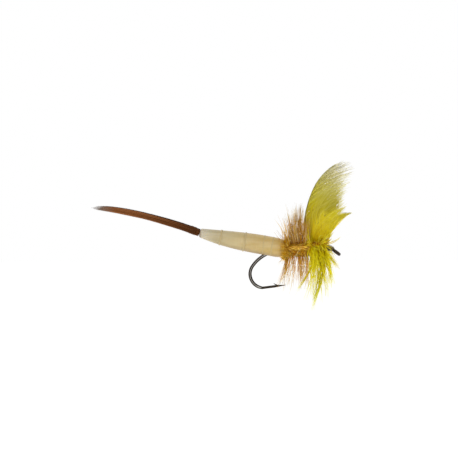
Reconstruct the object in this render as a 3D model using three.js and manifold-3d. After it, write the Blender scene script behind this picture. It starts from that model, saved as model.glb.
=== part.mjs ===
// A detached-body mayfly dry fly, tied on a down-eye hook.
//
// Millimetres. The origin is the centre of the hook's eye. +X runs forward, out over the eye, +Z is up, and the wings
// stand up. The fly's left side is +Y. Two frames are used: the fly's own, and the shank's, whose x runs forward
// along the straight shank from the neck, where the thread, thorax, hackles and head are wound round it.
import * as THREE from 'three';
import { mergeVertices } from 'three/addons/utils/BufferGeometryUtils.js';
import Module from 'manifold-3d';

const wasm = await Module();
wasm.setup();

// ---- Driving dimensions ----------------------------------------------------------------------------------------

const GAP = 0.02; // between pieces that touch
const rad = THREE.MathUtils.degToRad;

const WIRE_R = 0.3; // hook wire
const HOOK_SIDES = 8; // facets round the wire: two of them are the forged bend's flats
const FORGED_Y = 0.86; // the forged bend's thickness, as a share of the wire's
const EYE_RING_R = 0.66; // centre line of the eye
const EYE_WIRE_R = 0.26; // the wire tapers a little before it turns into the eye
const EYE_DROP = rad(38); // the eye is turned down
const NECK = new THREE.Vector3(-1.01, 0, 0.8); // where the straight shank begins, behind the eye
const SHANK_TILT = rad(2.8); // the shank runs back and a little down
const SHANK_LENGTH = 9.56;
const BEND_UPPER_R = 6.97;
const BEND_UPPER_TURN = rad(52.1);
const BEND_LOWER_R = 2.64;
const BEND_LOWER_TURN = rad(119);
const SPEAR_RISE = rad(7); // the spear points a little up, towards the shank
const SPEAR_LENGTH = 4.6;
const SPEAR_R = 0.18;

const THREAD_R = 0.05; // tying thread
const THREAD_BASE_R = 0.4; // outside of the thread on the shank
const THREAD_BASE_FROM = -8.5; // these places along the shank are in its own frame
const THREAD_BASE_TO = -0.12;
const CORE_R = 0.2; // monofilament core of the detached body
const CORE_RISE = THREAD_BASE_R + CORE_R + GAP; // the core lies on top of the wrapped shank
const LASH_R = 0.09; // thickness of the lashing round core and shank
const LASH_FROM = -8.4;
const LASH_TO = -4.6;

const BODY_AXIS = [[-25.95, 3.7], [-21, 2.6], [-15.5, 1.65], [-9.9, 0.62]]; // x, z from tail to thorax
const BODY_R = 1.83;
const BODY_THIN = 1.0; // how much thinner its tail end is
const BODY_TAPER_LENGTH = 12;
const BODY_NOSE_LENGTH = 1.6; // the front end rounds off into the thorax
const BODY_STEPS = 13;
const BODY_SIDES = 16;
const SKIN = 0.25; // thickness of the wound skin
const RIBS = [4.05, 8.65, 12.3, 13.9]; // distances from the tail end
const RIB_R = 0.07;
const FLEX_AT = 10.1; // distance from the tail end to the middle of the body's bend
const FLEX_BALL_R = 1.78;

const TAIL_AXIS = [[-25.95, 3.7], [-30.5, 5.25], [-36.5, 6.95], [-42.6, 8.12], [-46.3, 8.48]];
const TAIL_HALF_HEIGHT = 0.72;
const TAIL_ROWS = 4;
const TAIL_FIBRES = 7;
const TAIL_CUP_R = 0.8;
const BINDING_AT = 0.06; // as a share of the tail's length
const BINDING_TURNS = 4;
const BINDING_PITCH = 0.12;

const THORAX_R = 0.95;
const THORAX_FROM = -8.85; // in the shank's frame, like the places below
const THORAX_TO = -1.25;
const HEAD_FROM = -1.2;
const HEAD_REAR_R = 0.47;
const HEAD_FRONT_R = 0.34;
const HEAD_SWELL = 0.14;
const HEAD_TURNS = 8;
const VARNISH = 0.07;
const QUILL_R = 0.1; // hackle stem
const BARB_R = 0.055; // hackle fibre at its root
const WING_SEAT = -2.95; // where the wings stand
const WING_POST_R = 0.34;
const WING_POST_TOP = 1.3;

// ---- Materials -------------------------------------------------------------------------------------------------

const material = (name, color, roughness, metalness = 0) =>
  new THREE.MeshStandardMaterial({ name, color, roughness, metalness });

const bronzedSteel = material('bronzed_steel', 0x3a2f28, 0.3, 1);
const oliveThread = material('olive_thread', 0x5a4a12, 0.7);
const creamThread = material('cream_thread', 0xcdb684, 0.6);
const brownThread = material('brown_thread', 0x4c3a2c, 0.7);
const monofilament = material('monofilament', 0xe6e0cc, 0.2);
const underbodyFloss = material('underbody_floss', 0xe2d6b0, 0.8);
const ivorySkin = material('ivory_skin', 0xd6c08c, 0.45);
const brownFibre = material('brown_fibre', 0x5e3218, 0.6);
const goldDubbing = material('gold_dubbing', 0xa86f0c, 0.9);
const gingerHackle = material('ginger_hackle', 0xb07a2c, 0.5);
const yellowHackle = material('yellow_hackle', 0xc2b408, 0.5);
const yellowFeather = material('yellow_feather', 0xbcae28, 0.6);
const featherStem = material('feather_stem', 0x76742a, 0.5);
const headVarnish = material('head_varnish', 0x6b5c20, 0.1);

// ---- Solids and meshes -----------------------------------------------------------------------------------------

const fly = new THREE.Group();
const shankFrame = new THREE.Group();
shankFrame.position.copy(NECK);
shankFrame.rotation.y = -SHANK_TILT;
fly.add(shankFrame);
shankFrame.updateMatrixWorld(true);

function add(name, geometry, look, parent = fly) {
  const mesh = new THREE.Mesh(geometry, look);
  mesh.name = name;
  parent.add(mesh);
}

function solidOf(geometry) {
  const bare = geometry.clone();
  bare.deleteAttribute('normal');
  bare.deleteAttribute('uv');
  const merged = mergeVertices(bare, 1e-4);
  return new wasm.Manifold(new wasm.Mesh({
    numProp: 3,
    vertProperties: merged.attributes.position.array,
    triVerts: new Uint32Array(merged.index.array),
  }));
}

function geometryOf(solid) {
  const mesh = solid.getMesh();
  const geometry = new THREE.BufferGeometry();
  geometry.setAttribute('position', new THREE.BufferAttribute(new Float32Array(mesh.vertProperties), 3));
  geometry.setIndex(new THREE.BufferAttribute(new Uint32Array(mesh.triVerts), 1));
  return geometry;
}

const join = (solids) => solids.reduce((whole, solid) => whole.add(solid));
const cut = (solid, tools) => tools.reduce((rest, tool) => rest.subtract(tool), solid);

// A closed rod along a list of points. section(f) gives the half sizes across the rod, in the rod's own plane and
// along the side direction, at the fraction f of its length. Its facets face those two directions squarely.
function rod(points, section, sides, side = new THREE.Vector3(0, 1, 0)) {
  const lengths = [0];
  for (let i = 1; i < points.length; i += 1) {
    lengths.push(lengths[i - 1] + points[i].distanceTo(points[i - 1]));
  }
  const positions = [];
  const indices = [];
  const across = side.clone();
  points.forEach((point, i) => {
    const before = points[Math.max(i - 1, 0)];
    const after = points[Math.min(i + 1, points.length - 1)];
    const tangent = after.clone().sub(before).normalize();
    across.addScaledVector(tangent, -across.dot(tangent)).normalize();
    const up = new THREE.Vector3().crossVectors(across, tangent);
    const [halfUp, halfAcross] = section(lengths[i] / lengths.at(-1));
    for (let k = 0; k < sides; k += 1) {
      const angle = ((k + 0.5) / sides) * 2 * Math.PI;
      const corner = point.clone()
        .addScaledVector(up, halfUp * Math.sin(angle))
        .addScaledVector(across, halfAcross * Math.cos(angle));
      positions.push(...corner.toArray());
    }
  });
  const ring = (i, k) => i * sides + (k % sides);
  for (let i = 0; i + 1 < points.length; i += 1) {
    for (let k = 0; k < sides; k += 1) {
      indices.push(ring(i, k), ring(i + 1, k), ring(i, k + 1));
      indices.push(ring(i, k + 1), ring(i + 1, k), ring(i + 1, k + 1));
    }
  }
  const last = points.length - 1;
  for (let k = 1; k + 1 < sides; k += 1) {
    indices.push(ring(0, 0), ring(0, k), ring(0, k + 1));
    indices.push(ring(last, 0), ring(last, k + 1), ring(last, k));
  }
  const geometry = new THREE.BufferGeometry();
  geometry.setAttribute('position', new THREE.Float32BufferAttribute(positions, 3));
  geometry.setIndex(indices);
  return geometry;
}

const round = (radiusAt) => (f) => [radiusAt(f), radiusAt(f)];

// A solid turned about the X axis from a closed outline of [x, radius] pairs.
function turned(outline, segments) {
  const closed = [...outline, outline[0]].map(([x, r]) => new THREE.Vector2(r, x));
  return new THREE.LatheGeometry(closed, segments).rotateZ(-Math.PI / 2);
}

// Side-by-side turns of thread between two places, on a bore, each turn one ridge. outer(x) is the ridges' radius.
function wraps(from, to, bore, outer, turns, segments = 12) {
  const outline = [[to, bore], [from, bore]];
  const pitch = (to - from) / turns;
  for (let i = 0; i < turns; i += 1) {
    const start = from + i * pitch;
    outline.push([start, outer(start) - 0.5 * THREAD_R]);
    outline.push([start + pitch / 2, outer(start + pitch / 2)]);
  }
  outline.push([to, outer(to) - 0.5 * THREAD_R]);
  return turned(outline, segments);
}

// A thin closed sheet over a grid of points: at(u, v) gives its middle surface, and its thickness lies along Y.
function sheet(at, thickness, nu, nv) {
  const positions = [];
  const indices = [];
  for (const half of [-thickness / 2, thickness / 2]) {
    for (let i = 0; i <= nu; i += 1) {
      for (let j = 0; j <= nv; j += 1) {
        const p = at(i / nu, j / nv);
        positions.push(p.x, p.y + half, p.z);
      }
    }
  }
  const layer = (nu + 1) * (nv + 1);
  const node = (i, j) => i * (nv + 1) + j;
  const quad = (a, b, c, d) => indices.push(a, b, c, a, c, d);
  for (let i = 0; i < nu; i += 1) {
    for (let j = 0; j < nv; j += 1) {
      const [a, b, c, d] = [node(i, j), node(i + 1, j), node(i + 1, j + 1), node(i, j + 1)];
      quad(a, d, c, b);
      quad(layer + a, layer + b, layer + c, layer + d);
    }
  }
  const rim = [];
  for (let i = 0; i < nu; i += 1) rim.push([node(i, 0), node(i + 1, 0)]);
  for (let j = 0; j < nv; j += 1) rim.push([node(nu, j), node(nu, j + 1)]);
  for (let i = nu; i > 0; i -= 1) rim.push([node(i, nv), node(i - 1, nv)]);
  for (let j = nv; j > 0; j -= 1) rim.push([node(0, j), node(0, j - 1)]);
  for (const [a, b] of rim) quad(a, b, layer + b, layer + a);
  const geometry = new THREE.BufferGeometry();
  geometry.setAttribute('position', new THREE.Float32BufferAttribute(positions, 3));
  geometry.setIndex(indices);
  return geometry;
}

const planar = (pairs, y = 0) => new THREE.CatmullRomCurve3(pairs.map(([x, z]) => new THREE.Vector3(x, y, z)));
const ball = (centre, radius) => solidOf(new THREE.SphereGeometry(radius, 16, 10).translate(...centre.toArray()));

// ---- Hook ------------------------------------------------------------------------------------------------------

const eyeBack = new THREE.Vector3(-Math.cos(EYE_DROP), 0, Math.sin(EYE_DROP)).multiplyScalar(EYE_RING_R);

// The wire's centre line from the eye round to the point, made as straight and bent stretches in the XZ plane.
function hookLine() {
  const points = [eyeBack, NECK.clone()];
  let heading = Math.PI + SHANK_TILT;
  const here = () => points.at(-1).clone();
  const straight = (length) => {
    points.push(here().add(new THREE.Vector3(Math.cos(heading), 0, Math.sin(heading)).multiplyScalar(length)));
  };
  const bend = (radius, turn, steps) => {
    for (let i = 0; i < steps; i += 1) {
      heading += turn / steps / 2;
      straight(2 * radius * Math.sin(turn / steps / 2));
      heading += turn / steps / 2;
    }
  };
  straight(SHANK_LENGTH);
  bend(BEND_UPPER_R, BEND_UPPER_TURN, 6);
  bend(BEND_LOWER_R, BEND_LOWER_TURN, 12);
  heading = 2 * Math.PI + SPEAR_RISE;
  for (const share of [0.09, 0.36, 0.3, 0.25]) straight(share * SPEAR_LENGTH);
  return points;
}

const hookPoints = hookLine();
const hookLength = hookPoints.slice(1).reduce((sum, p, i) => sum + p.distanceTo(hookPoints[i]), 0);
const smooth = THREE.MathUtils.smoothstep;

function hookSection(f) {
  const s = f * hookLength;
  const toPoint = hookLength - s;
  const neck = THREE.MathUtils.lerp(EYE_WIRE_R, WIRE_R, smooth(s, 0, 1.2));
  const spear = THREE.MathUtils.lerp(SPEAR_R, WIRE_R, smooth(toPoint, SPEAR_LENGTH - 0.5, SPEAR_LENGTH + 1.2));
  const point = Math.min(1, 0.08 + toPoint / (0.55 * SPEAR_LENGTH));
  const radius = Math.min(neck, spear) * point;
  const forged = smooth(s, SHANK_LENGTH + 2, SHANK_LENGTH + 4) * smooth(toPoint, SPEAR_LENGTH, SPEAR_LENGTH + 1.5);
  return [radius, radius * THREE.MathUtils.lerp(1, FORGED_Y, forged)];
}

function barb() {
  const root = new THREE.Vector3(-11.2, 0, -6.36);
  const tip = new THREE.Vector3(-11.92, 0, -6.03);
  return solidOf(rod([root, tip], round((f) => THREE.MathUtils.lerp(0.12, 0.02, f)), 6));
}

const eyeRing = (wireR) => solidOf(new THREE.TorusGeometry(EYE_RING_R, wireR, 8, 20).rotateY(EYE_DROP));
const wire = solidOf(rod(hookPoints, hookSection, HOOK_SIDES));
add('hook', geometryOf(join([wire, eyeRing(EYE_WIRE_R), barb()])), bronzedSteel);

const hookRoom = solidOf(rod(hookPoints, (f) => hookSection(f).map((half) => half + 1.5 * GAP), HOOK_SIDES));

// ---- Thread, core and lashing on the shank ---------------------------------------------------------------------

const shankBore = WIRE_R + GAP;
const threadBase = wraps(THREAD_BASE_FROM, THREAD_BASE_TO, shankBore, () => THREAD_BASE_R, 14);
add('thread_base', threadBase, oliveThread, shankFrame);

// The outline round a big circle at the origin and a small one above it, grown by an allowance.
function lashOutline(grow) {
  const big = THREAD_BASE_R + grow;
  const small = CORE_R + grow;
  const lean = Math.asin((big - small) / CORE_RISE);
  const outline = new THREE.Shape();
  outline.absarc(0, CORE_RISE, small, lean, Math.PI - lean, false);
  outline.absarc(0, 0, big, Math.PI - lean, 2 * Math.PI + lean, false);
  outline.closePath();
  return outline;
}

// A solid of that outline along the shank. The shape's x lies along Y and its y along Z.
function lashBlock(grow, from, to, hole) {
  const shape = lashOutline(grow);
  if (hole !== undefined) shape.holes.push(lashOutline(hole));
  const block = new THREE.ExtrudeGeometry(shape, { depth: to - from, bevelEnabled: false, curveSegments: 6 });
  return block.applyMatrix4(new THREE.Matrix4().makeBasis(
    new THREE.Vector3(0, 1, 0), new THREE.Vector3(0, 0, 1), new THREE.Vector3(1, 0, 0),
  )).translate(from, 0, 0);
}

add('lashing_wraps', lashBlock(LASH_R + GAP, LASH_FROM, LASH_TO, GAP), creamThread, shankFrame);

const bodyAxis = planar(BODY_AXIS);
const bodyLength = bodyAxis.getLength();
const onBody = (distance) => bodyAxis.getPointAt(THREE.MathUtils.clamp(distance / bodyLength, 0, 1));
const bodyTangent = (distance) => bodyAxis.getTangentAt(THREE.MathUtils.clamp(distance / bodyLength, 0, 1));
const flexCentre = onBody(FLEX_AT);

// A plane across the body, as a big block behind it.
function behind(distance) {
  const reach = 40;
  const block = new THREE.BoxGeometry(reach, reach, reach).translate(-reach / 2, 0, 0);
  const along = new THREE.Quaternion().setFromUnitVectors(new THREE.Vector3(1, 0, 0), bodyTangent(distance));
  return solidOf(block.applyQuaternion(along).translate(...onBody(distance).toArray()));
}

// The body bends about FLEX_AT. The rear pieces end in a ball there, and the front ones in a cup round it.
const rearOfFlex = behind(FLEX_AT);
const keepRear = (solid) => solid.intersect(rearOfFlex.add(ball(flexCentre, FLEX_BALL_R)));
const keepFront = (solid) => cut(solid, [rearOfFlex, ball(flexCentre, FLEX_BALL_R + 4 * GAP)]);
const tailCup = ball(onBody(0), TAIL_CUP_R);

function coreFrontLine() {
  const shankPoint = (x) => new THREE.Vector3(x, 0, CORE_RISE).applyMatrix4(shankFrame.matrixWorld);
  const curve = new THREE.CatmullRomCurve3([
    onBody(FLEX_AT + 0.4), onBody(FLEX_AT + 2.2), shankPoint(-8.9), shankPoint(-7), shankPoint(LASH_TO - 0.3),
  ]);
  return curve.getPoints(10);
}

const coreFront = coreFrontLine();
const coreRear = bodyAxis.getPoints(14).filter((p) => p.x < flexCentre.x + 1.5);
const coreRod = (points, radius) => solidOf(rod(points, round(() => radius), 8));
add('core_front', geometryOf(keepFront(coreRod(coreFront, CORE_R))), monofilament);
add('core_rear', geometryOf(keepRear(cut(coreRod(coreRear, CORE_R), [tailCup]))), monofilament);

// ---- Detached body ---------------------------------------------------------------------------------------------

function bodyRadius(distance) {
  const thin = Math.max(0, 1 - distance / BODY_TAPER_LENGTH);
  const nose = Math.max(0, 1 - (bodyLength - distance) / BODY_NOSE_LENGTH);
  return (BODY_R - BODY_THIN * thin * thin) * Math.sqrt(1 - 0.5 * nose * nose);
}

function bodyLayer(inset) {
  const points = bodyAxis.getSpacedPoints(BODY_STEPS);
  return solidOf(rod(points, round((f) => bodyRadius(f * bodyLength) - inset), BODY_SIDES));
}

// The layer lengthened past both ends, to cut a bore right through.
function bodyBore(inset) {
  const overhang = 0.5;
  const points = bodyAxis.getSpacedPoints(BODY_STEPS);
  points.unshift(points[0].clone().addScaledVector(bodyTangent(0), -overhang));
  points.push(points.at(-1).clone().addScaledVector(bodyTangent(bodyLength), overhang));
  const distance = (f) => THREE.MathUtils.clamp(f * (bodyLength + 2 * overhang) - overhang, 0, bodyLength);
  return solidOf(rod(points, round((f) => bodyRadius(distance(f)) - inset), BODY_SIDES));
}

const skin = cut(bodyLayer(0), [bodyBore(SKIN)]);
const underbody = bodyLayer(SKIN + GAP);
const bore = CORE_R + 1.5 * GAP;
const coreRoom = [coreRod(coreFront, bore), coreRod(coreRear, bore)];

add('abdomen_skin_rear', geometryOf(keepRear(cut(skin, [tailCup]))), ivorySkin);
add('abdomen_skin_front', geometryOf(keepFront(cut(skin, [hookRoom]))), ivorySkin);
add('underbody_rear', geometryOf(keepRear(cut(underbody, [coreRoom[1], tailCup]))), underbodyFloss);
add('underbody_front', geometryOf(keepFront(cut(underbody, [coreRoom[0], hookRoom]))), underbodyFloss);

// A ring of thread round the body, square to its axis.
function bodyRing(distance, geometry) {
  const along = new THREE.Quaternion().setFromUnitVectors(new THREE.Vector3(1, 0, 0), bodyTangent(distance));
  return geometry.applyQuaternion(along).translate(...onBody(distance).toArray());
}

RIBS.forEach((distance, i) => {
  const ringR = bodyRadius(distance) + RIB_R + 1.5 * GAP;
  const ring = bodyRing(distance, new THREE.TorusGeometry(ringR, RIB_R, 5, 20).rotateY(Math.PI / 2));
  const room = i > 1 ? [hookRoom] : [];
  add(`rib_${i + 1}`, geometryOf(cut(solidOf(ring), room)), creamThread);
});

// ---- Tail ------------------------------------------------------------------------------------------------------

const tailAxis = planar(TAIL_AXIS);
const tailHalf = (f) => TAIL_HALF_HEIGHT * (1 - 0.12 * f) * Math.sqrt(Math.max(0.02, 1 - f ** 5));

// Fibres lie in two columns, in rows up the height of the bundle, and all narrow towards the tip.
function tailFibre(i) {
  const row = Math.floor(i / 2);
  const column = i % 2 === 0 ? -1 : 1;
  const end = 1 - 0.05 * Math.abs(row - 1.2) - (column > 0 ? 0.03 : 0);
  const fibreR = (f) => tailHalf(f) / TAIL_ROWS - GAP / 2;
  const steps = 10;
  const points = [];
  for (let k = 0; k <= steps; k += 1) {
    const f = (k / steps) * end;
    const tangent = tailAxis.getTangentAt(f);
    const up = new THREE.Vector3(-tangent.z, 0, tangent.x).multiplyScalar(-1);
    const rise = ((row - (TAIL_ROWS - 1) / 2) * 2 * tailHalf(f)) / TAIL_ROWS;
    const point = tailAxis.getPointAt(f).addScaledVector(up, rise);
    point.y = column * (fibreR(f) + GAP / 2);
    points.push(point);
  }
  const point = (f) => Math.min(1, 0.15 + (1 - f) * 9);
  return rod(points, round((f) => fibreR(f * end) * point(f)), 5);
}

for (let i = 0; i < TAIL_FIBRES; i += 1) add(`tail_fibre_${i + 1}`, tailFibre(i), brownFibre);

// Turns of thread that bind the fibres flat, just behind the body. Each turn is one ridge of an oblong band.
function tailBinding() {
  const half = tailHalf(BINDING_AT) + 2 * GAP;
  const flat = half / 2 + GAP;
  const oblong = (grow) => {
    const shape = new THREE.Shape();
    const corner = flat + grow;
    shape.absarc(0, half - flat, corner, 0, Math.PI, false);
    shape.absarc(0, flat - half, corner, Math.PI, 2 * Math.PI, false);
    shape.closePath();
    return shape;
  };
  const ridge = { bevelSize: THREAD_R, bevelThickness: THREAD_R, bevelSegments: 1, curveSegments: 4 };
  const turns = [];
  for (let i = 0; i < BINDING_TURNS; i += 1) {
    const ring = new THREE.ExtrudeGeometry(oblong(THREAD_R), { depth: BINDING_PITCH / 4, ...ridge });
    turns.push(solidOf(ring.translate(0, 0, (i - BINDING_TURNS / 2) * BINDING_PITCH)));
  }
  const hole = new THREE.ExtrudeGeometry(oblong(0), { depth: 4, bevelEnabled: false, curveSegments: 4 });
  const band = geometryOf(join(turns).subtract(solidOf(hole.translate(0, 0, -2))));
  const along = tailAxis.getTangentAt(BINDING_AT);
  const side = new THREE.Vector3(0, 1, 0);
  const up = new THREE.Vector3().crossVectors(along, side);
  const turn = new THREE.Matrix4().makeBasis(side, up, along);
  return band.applyMatrix4(turn).translate(...tailAxis.getPointAt(BINDING_AT).toArray());
}

add('tail_binding', tailBinding(), brownThread);

// ---- Thorax ----------------------------------------------------------------------------------------------------

function thoraxOutline() {
  const outline = [[THORAX_FROM, 0]];
  const lumps = 8;
  for (let i = 0; i <= lumps; i += 1) {
    const x = THREE.MathUtils.lerp(THORAX_FROM, THORAX_TO, i / lumps);
    const ends = Math.sin(Math.PI * THREE.MathUtils.clamp(0.1 + (0.85 * i) / lumps, 0, 1)) ** 0.3;
    outline.push([x, (THORAX_R + (i % 2 ? 0.04 : -0.04)) * ends]);
  }
  outline.push([THORAX_TO, 0]);
  return outline.map(([x, r]) => new THREE.Vector2(r, x));
}

const thoraxBody = solidOf(new THREE.LatheGeometry(thoraxOutline(), 14).rotateZ(-Math.PI / 2));
const lashRoom = solidOf(lashBlock(LASH_R + 2 * GAP, THORAX_FROM - 1, LASH_TO + GAP));
const threadRoomLength = THREAD_BASE_TO - THREAD_BASE_FROM + 2 * GAP;
const threadRoom = solidOf(new THREE.CylinderGeometry(THREAD_BASE_R + GAP, THREAD_BASE_R + GAP, threadRoomLength, 12)
  .rotateZ(Math.PI / 2).translate((THREAD_BASE_FROM + THREAD_BASE_TO) / 2, 0, 0));
const postRoom = solidOf(new THREE.CylinderGeometry(WING_POST_R + GAP, WING_POST_R + GAP, 3, 12)
  .rotateX(Math.PI / 2).translate(WING_SEAT, 0, 1.5));
add('thorax_dubbing', geometryOf(cut(thoraxBody, [lashRoom, threadRoom, postRoom])), goldDubbing, shankFrame);

// The wings' roots are bound into a short post of thread that stands on the shank's wraps.
const postFoot = THREAD_BASE_R + GAP;
add('wing_post_wraps', wraps(postFoot, WING_POST_TOP, 0.03, () => WING_POST_R, 4)
  .rotateY(-Math.PI / 2).translate(WING_SEAT, 0, 0), oliveThread, shankFrame);

// ---- Hackles ---------------------------------------------------------------------------------------------------

// Angles round the shank run from 0 at the top through 90 on the fly's right side (-Y) to 180 underneath.
const outward = (angle) => new THREE.Vector3(0, -Math.sin(angle), Math.cos(angle));
const spread = (i, step) => (i * step) % 1; // fills 0 to 1 evenly, in no visible order

// One hackle feather: its stem wound round the thorax, with a barb standing out at each step along it. at(turn)
// gives the stem's x, and barbShape(angle, x, i) the barb's length, lean and curl, or null for no barb.
function hackle(turns, at, stemR, barbCount, barbShape) {
  const stemPoint = (turn) => outward(2 * Math.PI * turn).multiplyScalar(stemR).setX(at(turn));
  const perTurn = 12;
  const stem = [];
  for (let i = 0; i <= turns * perTurn; i += 1) stem.push(stemPoint(i / perTurn));
  const pieces = [solidOf(rod(stem, round(() => QUILL_R), 5, new THREE.Vector3(0, 0, 1)))];
  for (let i = 0; i < barbCount; i += 1) {
    const turn = ((i + 0.5) / barbCount) * turns;
    const angle = 2 * Math.PI * turn;
    const shape = barbShape(THREE.MathUtils.euclideanModulo(angle, 2 * Math.PI), at(turn), i);
    if (!shape) continue;
    const root = stemPoint(turn);
    const line = [0, 0.5, 1].map((f) => root.clone()
      .addScaledVector(outward(angle), shape.length * f)
      .add(new THREE.Vector3(shape.lean * f + shape.curl * f * f, 0, 0)));
    const taper = (f) => BARB_R * (1 - 0.8 * f);
    pieces.push(solidOf(rod(line, round(taper), 3, new THREE.Vector3(1, 0.01, 0.01))));
  }
  return geometryOf(join(pieces));
}

const fromTop = (angle) => Math.min(angle, 2 * Math.PI - angle);
const STEM_RING_R = THORAX_R + 0.04 + QUILL_R + GAP;

// Ginger: it fills the thorax behind the wings. Its rear barbs lean back, and the topmost rear ones are short. The
// barbs that hang straight down stay in front of the hook's gape, and none stands up where the wings can swing.
const GINGER_TURNS = 6;
const GINGER_FROM = -8.7;
const GINGER_TO = -4.35;
const gingerAt = (turn) => THREE.MathUtils.lerp(GINGER_FROM, GINGER_TO, turn / GINGER_TURNS);
function gingerBarb(angle, x, i) {
  if (x > -5.6 && fromTop(angle) < rad(30)) return null;
  const rear = (GINGER_TO - x) / (GINGER_TO - GINGER_FROM);
  const top = Math.max(0, Math.cos(angle));
  const beside = Math.cos(angle) < 0 ? Math.sin(angle) ** 2 : 0;
  const short = 1 - 0.6 * top * smooth(rear, 0.6, 1);
  const length = (7 + 1.4 * spread(i, 0.618)) * short;
  return { length, lean: -short * (rear * (0.8 + 1.4 * beside) + 0.3 * top), curl: -0.1 * rear };
}
add('ginger_hackle', hackle(GINGER_TURNS, gingerAt, STEM_RING_R, 84, gingerBarb), gingerHackle, shankFrame);

// Yellow: two turns behind the wings and two in front, with no barbs where the wings stand. The longest hang down.
const YELLOW_TURNS = 4;
const YELLOW_FROM = -4;
const WINGS_CLEAR = rad(52);
const yellowAt = (turn) => YELLOW_FROM + 0.62 * turn + 0.3 * smooth(turn, 1.1, 1.9);
function yellowBarb(angle, x, i) {
  if (fromTop(angle) < WINGS_CLEAR) return null;
  const front = (x - YELLOW_FROM) / (yellowAt(YELLOW_TURNS) - YELLOW_FROM);
  const under = Math.max(0, -Math.cos(angle)) ** 2;
  const beside = Math.sin(angle) ** 2;
  const length = 6.6 + under * (1 - front) * (1 + 2.4 * spread(i, 0.618)) + 0.9 * spread(i, 0.618);
  const lean = 3.2 * (front - 0.5) + 2.2 * beside * smooth(front, 0.5, 1);
  return { length, lean, curl: 0.8 * (spread(i, 0.755) - 0.5) };
}
add('yellow_hackle', hackle(YELLOW_TURNS, yellowAt, STEM_RING_R, 64, yellowBarb), yellowHackle, shankFrame);

// A loose gold strand that lies along the right side of the thorax, over the hackle stems.
const strand = new THREE.CatmullRomCurve3([
  new THREE.Vector3(-8.3, -1.26, 0.36), new THREE.Vector3(-7, -1.28, 0.24), new THREE.Vector3(-5.7, -1.27, 0.12),
  new THREE.Vector3(-4.6, -1.26, -0.16),
]);
add('gold_strand', rod(strand.getPoints(8), round(() => 0.05), 5), goldDubbing, shankFrame);

// ---- Head ------------------------------------------------------------------------------------------------------

// The head is thread wound round the front of the shank, over the neck and down the sloping wire to the eye.
function headLine() {
  const onShank = (x) => new THREE.Vector3(x, 0, 0).applyMatrix4(shankFrame.matrixWorld);
  return new THREE.CatmullRomCurve3([onShank(HEAD_FROM), onShank(-0.55), NECK, NECK.clone().lerp(eyeBack, 0.65)]);
}

function headR(f) {
  const swell = HEAD_SWELL * Math.sin(Math.PI * THREE.MathUtils.clamp(f, 0, 1)) ** 0.8;
  return THREE.MathUtils.lerp(HEAD_REAR_R, HEAD_FRONT_R, f) + swell;
}

const headPoints = headLine().getSpacedPoints(2 * HEAD_TURNS);
const ridge = (f) => (Math.round(f * 2 * HEAD_TURNS) % 2 ? 0 : -0.5 * THREAD_R);
const headBody = solidOf(rod(headPoints, round((f) => headR(f) + ridge(f)), 14));
const threadRoomHere = threadRoom.transform(shankFrame.matrixWorld.toArray());
const headTools = [threadRoomHere, hookRoom, eyeRing(EYE_WIRE_R + 1.5 * GAP)];
add('head_wraps', geometryOf(cut(headBody, headTools)), oliveThread);

// A clear coat of varnish round the head, open at both ends.
function varnish() {
  const overhang = 0.1;
  const outside = headLine().getSpacedPoints(HEAD_TURNS);
  const before = outside[0].clone().lerp(outside[1], -overhang);
  const after = outside.at(-1).clone().lerp(outside.at(-2), -overhang);
  const coat = solidOf(rod(outside, round((f) => headR(f) + VARNISH), 14));
  const hole = solidOf(rod([before, ...outside, after], round((f) => headR(f) + GAP), 14));
  return geometryOf(cut(coat, [hole, eyeRing(EYE_WIRE_R + 1.5 * GAP)]));
}
add('head_varnish', varnish(), headVarnish);

// ---- Wings -----------------------------------------------------------------------------------------------------

// One feather: a stem along its leading edge, and a vane that fans out from it to the trailing edge. Both edges are
// lists of x, z. The feather leans outwards from the root, and its vane is cupped.
function wing(name, stemEdge, trailingEdge, stemR, side, splay) {
  const rootZ = stemEdge[0][1];
  const outwards = (z) => side * (0.2 + splay * (z - rootZ));
  const place = ([x, z]) => new THREE.Vector3(x, outwards(z), z);
  const stem = new THREE.CatmullRomCurve3(stemEdge.map(place));
  const trailing = new THREE.CatmullRomCurve3(trailingEdge.map(place));
  const taper = (f) => stemR * (1 - 0.75 * f);
  add(`${name}_stem`, rod(stem.getSpacedPoints(13), round(taper), 6), featherStem);
  const vaneAt = (u, v) => {
    const f = 0.05 + 0.92 * u;
    const near = stem.getPointAt(f);
    const far = trailing.getPointAt(f);
    const away = far.clone().sub(near).normalize();
    near.addScaledVector(away, taper(f) + 2 * GAP);
    const point = near.lerp(far, v);
    point.y += side * 0.5 * Math.sin(Math.PI * v) * Math.sin(Math.PI * Math.min(1, 0.2 + u));
    return point;
  };
  add(`${name}_vane`, sheet(vaneAt, 0.1, 11, 5), yellowFeather);
}

// The left wing stands tall and curves forward.
const leftStem = [
  [-3.85, 2.15], [-5.2, 3.1], [-5.8, 4.6], [-5.75, 7], [-5, 10.3],
  [-3.9, 12.9], [-2.6, 14.7], [-1.2, 16], [1.5, 17.4],
];
const leftTrailing = [
  [-3.45, 2.15], [-1.5, 3.6], [-0.7, 5.6], [0.1, 8.2], [0.9, 10.2],
  [1.8, 12], [2.6, 13.8], [2.95, 15.6], [1.7, 17.45],
];
wing('left_wing', leftStem, leftTrailing, 0.12, 1, 0.15);

// The right wing is about half as tall. It leans further out, and runs forward to a point.
const rightStem = [[-3.75, 2.15], [-3.9, 3.6], [-3.4, 5.5], [-2.3, 7], [-0.8, 7.6], [1.2, 7.6], [2.75, 7.5]];
const rightTrailing = [[-3.4, 2.15], [-1.6, 2.7], [-1.05, 3.5], [-0.3, 4.9], [0.8, 5.9], [1.9, 6.8], [2.8, 7.42]];
wing('right_wing', rightStem, rightTrailing, 0.11, -1, 0.6);

export default fly;
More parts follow.
